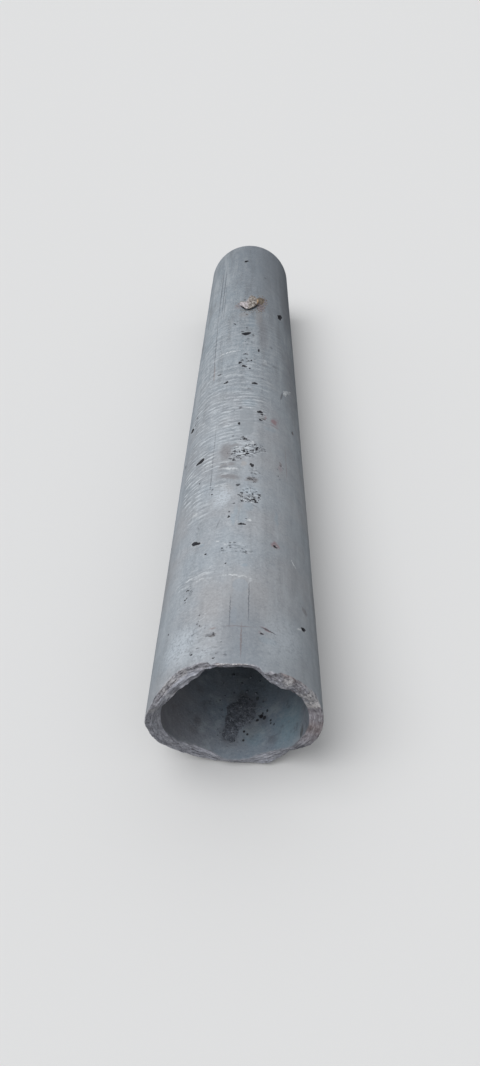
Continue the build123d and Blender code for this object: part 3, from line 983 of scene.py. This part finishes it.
class Shader:
    """A node material in the making. Inputs are given by name, as numbers, colours or other nodes' outputs,
    and a colour called rgb is in 0 to 255."""

    def __init__(self, name):
        self.material = bpy.data.materials.new(name)
        self.material.use_nodes = True
        self.tree = self.material.node_tree
        self.surface = self.tree.nodes["Principled BSDF"]

    def set(self, socket, value):
        if isinstance(value, bpy.types.NodeSocket):
            self.tree.links.new(value, socket)
        elif isinstance(value, tuple) and socket.type == "RGBA":
            socket.default_value = (*value, 1.0)
        else:
            socket.default_value = value

    def fill(self, node, inputs):
        for key, value in inputs.items():
            self.set(node.inputs[key.replace("_", " ")], value)

    def add(self, kind, settings=None, **inputs):
        node = self.tree.nodes.new("ShaderNode" + kind)
        for key, value in (settings or {}).items():
            setattr(node, key, value)
        self.fill(node, inputs)
        return node

    def finished(self, **inputs):
        """The material, once its surface has its inputs."""
        self.fill(self.surface, inputs)
        return self.material

    def math(self, operation, first, *more, clamp=False):
        node = self.add("Math", {"operation": operation, "use_clamp": clamp})
        for socket, given in zip(node.inputs, (first, *more)):
            self.set(socket, given)
        return node.outputs[0]

    def times(self, first, second):
        return self.math("MULTIPLY", first, second)

    def vector(self, operation, first, *more):
        node = self.add("VectorMath", {"operation": operation})
        for socket, given in zip(node.inputs, (first, *more)):
            self.set(socket, given)
        return node.outputs["Value"] if operation == "LENGTH" else node.outputs[0]

    def mask(self, name):
        return self.add("Attribute", {"attribute_name": name}).outputs["Fac"]

    def noise(self, vector, scale, detail=4.0, roughness=0.55, output="Fac"):
        node = self.add("TexNoise", Vector=vector, Scale=scale, Detail=detail, Roughness=roughness)
        return node.outputs[output]

    def ramp(self, value, low, high, out_low=0.0, out_high=1.0):
        node = self.add("MapRange", {"interpolation_type": "SMOOTHSTEP"})
        for socket, given in zip(node.inputs[:5], (value, low, high, out_low, out_high)):
            self.set(socket, given)
        return node.outputs[0]

    def mix(self, factor, first, second):
        node = self.add("Mix", {"data_type": "RGBA"})
        for socket, given in zip((node.inputs[0], node.inputs[6], node.inputs[7]), (factor, first, second)):
            self.set(socket, given)
        return node.outputs[2]

    def bump(self, height, distance, strength, **normal):
        return self.add("Bump", Height=height, Distance=distance, Strength=strength, **normal).outputs[0]

    def wall_map(self, place):
        """Distance round the wall from its top and along it from the tip of the break, in metres."""
        parts = self.add("SeparateXYZ", Vector=place).outputs
        height = self.math("SUBTRACT", parts["Z"], AXIS_HEIGHT)
        around = self.times(self.math("ARCTAN2", parts["X"], height), OUTSIDE_RADIUS)
        along = self.math("SUBTRACT", parts["Y"], BREAK_TIP_Y)
        return around, along, self.add("CombineXYZ", X=around, Y=along).outputs[0]

    def layered(self, place, around, along, stretch):
        """A place in the wall, drawn short round it so that noise there streaks along its layers."""
        parts = self.add("SeparateXYZ", Vector=place).outputs
        height = self.math("SUBTRACT", parts["Z"], AXIS_HEIGHT)
        radius = self.vector("LENGTH", self.add("CombineXYZ", X=parts["X"], Y=height).outputs[0])
        return self.add("CombineXYZ", X=self.times(around, stretch), Y=along, Z=radius).outputs[0]

    def wander(self, vector, place, size, reach):
        """A place shifted by noise of a given lump size, by up to about reach."""
        swing = self.add("SeparateColor", Color=self.noise(place, 1 / size, 1.0, 0.5, "Color")).outputs
        sideways = self.times(self.math("SUBTRACT", swing[0], 0.5), reach * 3)
        lengthways = self.times(self.math("SUBTRACT", swing[1], 0.5), reach * 3)
        return self.vector("ADD", vector, self.add("CombineXYZ", X=sideways, Y=lengthways).outputs[0])

    def marks(self, wall, given, low, high):
        """How strongly a place lies in any of the given marks, which end between the shares low and high."""
        total = None
        for angle, distance, around, along, turn, strength in given:
            # Hardly a shift, but it makes each mark wait for the one before it, which keeps the shader small
            waiting = wall if total is None else self.vector("MULTIPLY_ADD", total, (1e-7, 1e-7, 0), wall)
            node = self.add("Mapping", {"vector_type": "TEXTURE"}, Vector=waiting)
            node.inputs["Location"].default_value = (math.radians(angle) * OUTSIDE_RADIUS, distance * MM, 0)
            node.inputs["Rotation"].default_value = (0, 0, math.radians(turn))
            node.inputs["Scale"].default_value = (around / 2 * MM, along / 2 * MM, 1)
            level = self.ramp(self.vector("LENGTH", node.outputs[0]), low, high, strength, 0.0)
            total = level if total is None else self.math("MAXIMUM", total, level)
        return total

    def tint(self, colour, factor, rgb):
        """A colour drawn towards another one by a factor."""
        return self.mix(factor, colour, srgb(*rgb))

    def stained(self, colour, *layers):
        """A colour with layers of marks over it. Each gives the wall map it follows, its marks, the shares
        of their size between which they end, and their rgb."""
        for wall, given, low, high, rgb in layers:
            colour = self.tint(colour, self.marks(wall, given, low, high), rgb)
        return colour

    def two_toned(self, colour, noise, first, second, scale=None):
        """A colour with two more where a noise is high and where it is low. Each gives the noise where it
        starts and where it is full, its strength then, and its rgb."""
        for start, full, strength, rgb in (first, second):
            level = self.ramp(noise, start, full, 0.0, strength)
            if scale is not None:
                level = self.times(level, scale)
            colour = self.tint(colour, level, rgb)
        return colour


class WallShader(Shader):
    """The pipe's material: the map of its wall, plain and wandering, and the noises its colours share."""

    def __init__(self, name):
        super().__init__(name)
        self.place = self.add("TexCoord").outputs["Object"]
        self.around, self.along, self.wall = self.wall_map(self.place)
        self.broad = self.noise(self.place, 5.0, 5.0, 0.6)
        self.mottle = self.noise(self.place, 28.0, 5.0, 0.62)
        self.streaks = self.noise(self.vector("MULTIPLY", self.place, (1.0, 0.08, 1.0)), 42.0, 5.0, 0.6)
        self.speckle = self.noise(self.place, 420.0, 3.0, 0.6)
        self.gritty = self.noise(self.place, 160.0, 4.0, 0.65)
        self.unsteady = self.wander(self.wall, self.place, 0.006, 0.0015)
        self.ragged = self.wander(self.unsteady, self.place, 0.024, 0.006)


def plain_skin(shader):
    """The skin without its marks, mottled and streaked along the pipe, and most worn along its top."""
    around, along = shader.around, shader.along
    worn = shader.times(shader.ramp(around, -0.22, -0.12), shader.ramp(around, 0.15, 0.04))
    worn = shader.math("MULTIPLY_ADD", worn, 0.16, 0.13)
    further = shader.ramp(along, 0.9, 1.7, 1.0, 2.0)
    worn = shader.times(worn, further)
    skin = shader.mix(shader.ramp(shader.broad, 0.35, 0.65), srgb(164, 172, 180), srgb(168, 171, 176))
    skin = shader.tint(skin, shader.ramp(along, 0.8, 1.8, 0.0, 0.35), (150, 168, 180))
    pale_side = shader.times(shader.ramp(around, -0.17, -0.25, 0.0, 0.45), shader.ramp(along, 0.4, 0.8))
    skin = shader.tint(skin, pale_side, (186, 196, 208))
    skin = shader.two_toned(
        skin,
        shader.mottle,
        (0.46, 0.66, 0.26, (190, 196, 202)),
        (0.46, 0.28, 0.28, (138, 143, 151)),
        further,
    )
    skin = shader.two_toned(
        skin,
        shader.streaks,
        (0.50, 0.68, 1.0, (140, 145, 150)),
        (0.48, 0.32, 1.0, (190, 197, 203)),
        shader.ramp(along, 0.9, 1.9, 0.35, 0.75),
    )
    fine = shader.two_toned(
        skin,
        shader.gritty,
        (0.50, 0.66, 1.0, (208, 213, 217)),
        (0.47, 0.32, 1.0, (112, 116, 124)),
    )
    return shader.mix(worn, skin, fine)


def marked_skin(shader, skin):
    """The skin with its stains and chips, its pocked patches, its worn rings with their painted highlight
    and shade, and the painted shadow under the flake of mud.
    """
    wall, unsteady, ragged = shader.wall, shader.unsteady, shader.ragged
    skin = shader.stained(
        skin,
        (ragged, WARM_ZONES, 0.35, 1.15, (177, 171, 168)),
        (ragged, COOL_ZONES, 0.45, 1.1, (152, 168, 180)),
    )
    dusty = shader.ramp(shader.gritty, 0.36, 0.56, 0.25, 1.5)
    pale = shader.times(shader.marks(ragged, WHITE_ZONES, 0.3, 1.2), dusty)
    skin = shader.tint(skin, pale, (196, 204, 212))
    skin = shader.stained(
        skin,
        (ragged, BROWN_ZONES, 0.3, 1.2, (126, 120, 121)),
        (unsteady, COOL_PATCHES, 0.85, 1.0, (160, 173, 186)),
        (ragged, BROWN_MARKS, 0.55, 1.1, (108, 94, 88)),
        (ragged, RUST_MARKS, 0.4, 1.1, (152, 110, 114)),
        (unsteady, RUST_LINES, 0.4, 1.1, (140, 112, 102)),
    )

    # Fine dark grains, thickest in the pocked patches, which are scuffed as well
    patches = [
        (angle, distance, half_width * PATCH_WIDTH_PER_DEGREE, half_length * PATCH_LENGTH_PER_MM, 0, dark)
        for angle, distance, half_width, half_length, _, dark in POCKED_PATCHES
    ]
    pocked = shader.marks(ragged, patches, 0.5, 1.15)
    limit = shader.math("SUBTRACT", 0.68, shader.times(pocked, 0.10))
    grains = shader.math("MULTIPLY", shader.math("SUBTRACT", shader.gritty, limit), 14.0, clamp=True)
    skin = shader.tint(skin, shader.times(grains, 0.75), (92, 92, 98))
    skin = shader.two_toned(
        skin,
        shader.noise(shader.vector("MULTIPLY", ragged, (0.5, 1.0, 1.0)), 120.0, 2.0, 0.55),
        (0.53, 0.59, 0.95, (84, 86, 92)),
        (0.46, 0.40, 0.9, (208, 214, 220)),
        shader.times(pocked, pocked),
    )
    skin = shader.tint(skin, shader.ramp(shader.speckle, 0.60, 0.74, 0.0, 0.45), (128, 130, 134))
    skin = shader.stained(
        skin,
        (unsteady, DARK_LINES, 0.5, 1.1, (96, 98, 104)),
        (unsteady, DARK_SPECKS, 0.6, 1.1, (62, 60, 64)),
        # Painted shadow on the wall under the lifted edges of the flake of mud
        (wall, SHADOW_UNDER_MUD, 0.6, 1.1, (44, 36, 36)),
    )

    # Worn rings of the old winding, their pale and dark lines a painted highlight and shade of the low
    # ridges, and fine scuffs that follow them
    ring = shader.math("COSINE", shader.times(shader.mask("turns"), 2 * math.pi))
    hoops = shader.noise(shader.vector("MULTIPLY", ragged, (0.22, 1.0, 1.0)), 125.0, 3.0, 0.6)
    skin = shader.two_toned(
        skin,
        shader.math("MULTIPLY_ADD", ring, 0.08, hoops),
        (0.54, 0.64, 0.8, (214, 220, 225)),
        (0.47, 0.38, 0.6, (134, 140, 148)),
        shader.mask("ringed"),
    )
    skin = shader.stained(skin, (unsteady, FLAT_PATCHES, 0.75, 1.05, (152, 158, 164)))
    # Painted highlight round the rims of the pits
    return shader.tint(skin, shader.ramp(shader.mask("pit_rim_highlight"), 0.1, 0.9, 0.0, 0.45), (196, 200, 204))


def grimy_shaded_skin(shader, skin):
    """The skin with its pale chips and painted highlights, its dirt and painted shade thicker towards the
    sawn end, and painted shade down the right side.
    """
    around, along = shader.around, shader.along
    # Dirt and painted shade, growing towards the sawn end and towards the top and the right
    grime_and_shade = shader.times(
        shader.ramp(along, 0.6, 2.7, 0.0, 0.62),
        shader.ramp(around, -0.19, 0.03, 0.05, 1.0),
    )
    skin = shader.tint(skin, grime_and_shade, (102, 108, 116))
    # Painted shade down the right side of the pipe
    right_side_shade = shader.times(
        shader.ramp(around, 0.0, 0.09, 0.0, 0.32),
        shader.ramp(around, 0.14, 0.23, 1.0, 0.5),
    )
    skin = shader.tint(skin, right_side_shade, (116, 118, 122))
    skin = shader.stained(skin, (shader.wall, DULL_TOP, 0.2, 1.0, (118, 125, 134)))
    # Darker still towards the sawn end: painted shade, with some dirt
    skin = shader.tint(skin, shader.ramp(along, 2.1, 2.9, 0.0, 0.30), (110, 116, 124))
    # Pale chips and scuffs, with painted highlights on some rings and pit rims
    pale = shader.times(
        shader.marks(shader.ragged, PALE_CHIPS_AND_HIGHLIGHTS, 0.6, 1.1),
        shader.ramp(shader.gritty, 0.38, 0.5),
    )
    return shader.tint(skin, pale, (212, 216, 219))


def broken_face(shader):
    """The broken face, darker where it is coarse and pinkish down its right side."""
    around, gritty, ragged = shader.around, shader.gritty, shader.ragged
    face = shader.mix(shader.ramp(shader.mottle, 0.3, 0.7), srgb(150, 153, 163), srgb(174, 177, 187))
    pinkish = shader.times(shader.ramp(around, 0.20, 0.27, 0.0, 0.6), shader.ramp(around, 0.42, 0.35))
    face = shader.tint(face, pinkish, (158, 147, 152))
    face = shader.tint(face, shader.ramp(shader.mask("coarse"), 0.3, 1.0, 0.0, 0.4), (126, 121, 122))
    face = shader.two_toned(
        face,
        gritty,
        (0.50, 0.66, 0.35, (196, 197, 203)),
        (0.46, 0.32, 0.30, (108, 106, 112)),
    )
    face = shader.two_toned(
        face,
        shader.noise(shader.layered(shader.place, around, shader.along, 0.18), 300.0, 4.0, 0.62),
        (0.51, 0.62, 0.6, (200, 200, 206)),
        (0.47, 0.37, 0.6, (98, 94, 98)),
    )
    face = shader.stained(face, (ragged, BROWN_FACE, 0.3, 1.1, (138, 116, 106)))
    rough = shader.times(shader.mask("coarse"), shader.ramp(gritty, 0.48, 0.40, 0.0, 0.45))
    face = shader.tint(face, rough, (70, 66, 70))
    face = shader.tint(face, shader.ramp(shader.speckle, 0.55, 0.7, 0.0, 0.4), (116, 112, 116))
    # Painted shade in the hollows of the break
    face = shader.tint(face, shader.ramp(shader.mask("recess_shade"), 0.5, 0.85, 0.0, 0.45), (108, 105, 110))
    # Painted shade, with some dirt, on the broken face
    face = shader.stained(face, (ragged, SHADE_AND_DIRT_ON_FACE, 0.3, 1.1, (98, 98, 104)))
    # Pale patches on the face, and the painted highlight along its top rim
    pale = shader.times(shader.marks(ragged, PALE_FACE_AND_HIGHLIGHT, 0.5, 1.1), shader.ramp(gritty, 0.40, 0.54, 0.3, 1.2))
    return shader.tint(face, pale, (214, 212, 212))


def bore_wall(shader):
    """The bore, bluish towards the right and brownish high on its left side."""
    around, ragged = shader.around, shader.ragged
    bore = shader.mix(shader.ramp(shader.broad, 0.35, 0.65), srgb(132, 146, 160), srgb(142, 149, 159))
    bore = shader.stained(bore, (ragged, BORE_COOL_ZONES, 0.2, 1.1, (138, 167, 181)))
    bore = shader.two_toned(
        bore,
        shader.mottle,
        (0.51, 0.68, 0.6, (168, 178, 186)),
        (0.46, 0.30, 0.65, (106, 110, 116)),
    )
    bore = shader.stained(bore, (ragged, BORE_PALE_PLACE, 0.2, 1.1, (156, 164, 170)))
    bore = shader.two_toned(
        bore,
        shader.gritty,
        (0.54, 0.68, 0.35, (176, 184, 190)),
        (0.44, 0.32, 0.35, (96, 100, 106)),
    )
    # Stains, and painted shade deeper in the bore
    bore = shader.stained(bore, (ragged, BORE_STAINS_AND_SHADE, 0.2, 1.1, (92, 88, 90)))
    left_side = shader.times(shader.ramp(around, -0.56, -0.34, 0.0, 0.55), shader.ramp(around, 0.0, -0.1))
    bore = shader.tint(bore, left_side, (138, 130, 132))
    return shader.stained(bore, (shader.wall, BORE_SPECKS, 0.6, 1.1, (44, 44, 48)))


def cement_material():
    shader = WallShader("asbestos_cement")
    skin = plain_skin(shader)
    skin = marked_skin(shader, skin)
    skin = grimy_shaded_skin(shader, skin)
    face = broken_face(shader)
    colour = shader.mix(shader.mask("broken"), skin, face)
    bore = bore_wall(shader)
    colour = shader.mix(shader.mask("bore"), colour, bore)
    # Painted shade in the pits and pocks, near black
    colour = shader.tint(colour, shader.ramp(shader.mask("pit"), 0.1, 0.7, 0.0, 0.95), (42, 42, 47))
    normal = shader.bump(shader.mottle, 0.004, 0.5)
    normal = shader.bump(shader.gritty, 0.0016, 0.5, Normal=normal)
    normal = shader.bump(shader.speckle, 0.0012, 0.6, Normal=normal)
    return shader.finished(Base_Color=colour, Roughness=0.9, Specular_IOR_Level=0.25, Normal=normal)


def crumbly_material(name, dark, pale, grit, flecks, over=None):
    """Dry crumbly dirt in two tones, with dark grit and pale flecks. All four are in 0 to 255, and over may
    lay more on the colour."""
    shader = Shader(name)
    place = shader.add("TexCoord").outputs["Object"]
    clods = shader.noise(place, 110.0, 4.0, 0.65)
    grains = shader.noise(place, 340.0, 3.0, 0.6)
    colour = shader.mix(shader.ramp(clods, 0.40, 0.60), srgb(*dark), srgb(*pale))
    colour = shader.two_toned(colour, grains, (0.43, 0.34, 0.85, grit), (0.59, 0.67, 0.85, flecks))
    if over:
        colour = over(shader, place, colour)
    normal = shader.bump(clods, 0.004, 0.6)
    normal = shader.bump(grains, 0.0014, 0.7, Normal=normal)
    return shader.finished(Base_Color=colour, Roughness=1.0, Specular_IOR_Level=0.15, Normal=normal)


def mud_tones(shader, place, colour):
    """Whitish on the left lobe of the flake, greenish behind it and tan down the right edge of its slab."""
    around, along, _ = shader.wall_map(place)
    patchy = shader.ramp(shader.noise(place, 130.0), 0.42, 0.56, 0.15, 0.85)
    lobe = shader.times(shader.ramp(around, 0.012, -0.004), patchy)
    colour = shader.tint(colour, lobe, (208, 202, 208))
    behind = shader.times(shader.ramp(along, 2.078, 2.092), shader.ramp(around, 0.0, -0.008, 0.0, 0.75))
    colour = shader.tint(colour, behind, (122, 122, 104))
    edge = shader.times(shader.ramp(around, 0.034, 0.041, 0.0, 0.8), shader.ramp(along, 2.115, 2.095))
    return shader.tint(colour, edge, (206, 170, 130))


def add_sun(name, energy, degrees_wide, towards_light):
    lamp = bpy.data.lights.new(name, "SUN")
    lamp.energy = energy
    lamp.angle = math.radians(degrees_wide)
    sun = bpy.data.objects.new(name, lamp)
    bpy.context.scene.collection.objects.link(sun)
    sun.rotation_euler = Vector(towards_light).to_track_quat("Z", "Y").to_euler()


def floor_and_light():
    """A plain floor that goes on for ever, pale to the eye but dull in what it throws back, two broad soft
    lights and an even sky."""
    bpy.ops.mesh.primitive_plane_add(size=FLOOR_SIZE)
    floor = bpy.context.object
    floor.name = "floor"
    shader = Shader("floor")
    seen = shader.add("LightPath").outputs["Is Camera Ray"]
    colour = shader.mix(seen, FLOOR_BOUNCE, FLOOR_SEEN)
    floor.data.materials.append(shader.finished(Base_Color=colour, Roughness=1.0, Specular_IOR_Level=0.0))

    world = bpy.data.worlds.new("sky")
    bpy.context.scene.world = world
    world.use_nodes = True
    sky = world.node_tree.nodes["Background"]
    sky.inputs["Color"].default_value = SKY_COLOUR
    sky.inputs["Strength"].default_value = SKY_STRENGTH

    lean = math.radians(KEY_LEAN)
    add_sun("soft_key", energy=1.6, degrees_wide=50, towards_light=(-math.sin(lean), -0.28, math.cos(lean)))
    add_sun("front_fill", energy=0.5, degrees_wide=70, towards_light=(0.1, -1.0, 0.5))


def make_camera():
    right = AXIS_VANISHES_AT_PX[0] - PHOTO_WIDTH_PX / 2
    above = PHOTO_HEIGHT_PX / 2 - AXIS_VANISHES_AT_PX[1]
    along = Vector((right, above, FOCAL_PX)).normalized()
    upright = Vector((0, 1, 0))
    upright = (upright - upright.dot(along) * along).normalized()
    across = upright.cross(along)
    data = bpy.data.cameras.new("camera")
    data.sensor_width = 36.0
    data.lens = data.sensor_width * FOCAL_PX / PHOTO_HEIGHT_PX
    data.clip_start = 0.05
    data.clip_end = 500
    camera = bpy.data.objects.new("camera", data)
    bpy.context.scene.collection.objects.link(camera)
    # Rows are the camera's right, up and back directions in the frame's X, Y and Z
    turn = Matrix((
        (across.x, along.x, upright.x),
        (across.y, along.y, upright.y),
        (-across.z, -along.z, -upright.z),
    )).transposed()
    camera.matrix_world = Matrix.Translation((
        CAMERA_RIGHT_OF_AXIS,
        BREAK_TIP_Y - CAMERA_BEFORE_TIP,
        AXIS_HEIGHT + CAMERA_ABOVE_AXIS,
    )) @ turn.to_4x4()
    bpy.context.scene.camera = camera


make_camera()
floor_and_light()
bpy.context.scene.view_settings.view_transform = "Standard"

pipe = make_pipe()
pipe.data.materials.append(cement_material())
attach(pipe, "root")
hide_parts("pipe")

mud = crumbly_material("dried_mud", (98, 88, 82), (178, 172, 166), (58, 48, 46), (228, 226, 222), mud_tones)
soil = crumbly_material("soil", (94, 99, 108), (116, 121, 130), (60, 61, 66), (176, 181, 188))
dirt = crumbly_material("dirt", (100, 92, 82), (130, 120, 108), (70, 60, 54), (168, 160, 150))
crumbs = crumbly_material("crumbs", (120, 110, 102), (184, 178, 170), (80, 66, 62), (216, 212, 206))
mud_crumbs = [
    (math.degrees(math.asin(right * MM / OUTSIDE_RADIUS)), MUD_NEAR_END + back, size)
    for right, back, size in MUD_CRUMBS
]
for piece, material in (
    (make_soil(), soil),
    (make_crumbs("soil_crumbs", SOIL_CRUMBS, BORE_RADIUS, -1), soil),
    (make_mud(), mud),
    (make_dirt(), dirt),
    (make_crumbs("mud_crumbs", mud_crumbs, OUTSIDE_RADIUS, 1), crumbs),
):
    piece.data.materials.append(material)
    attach(piece, "root")
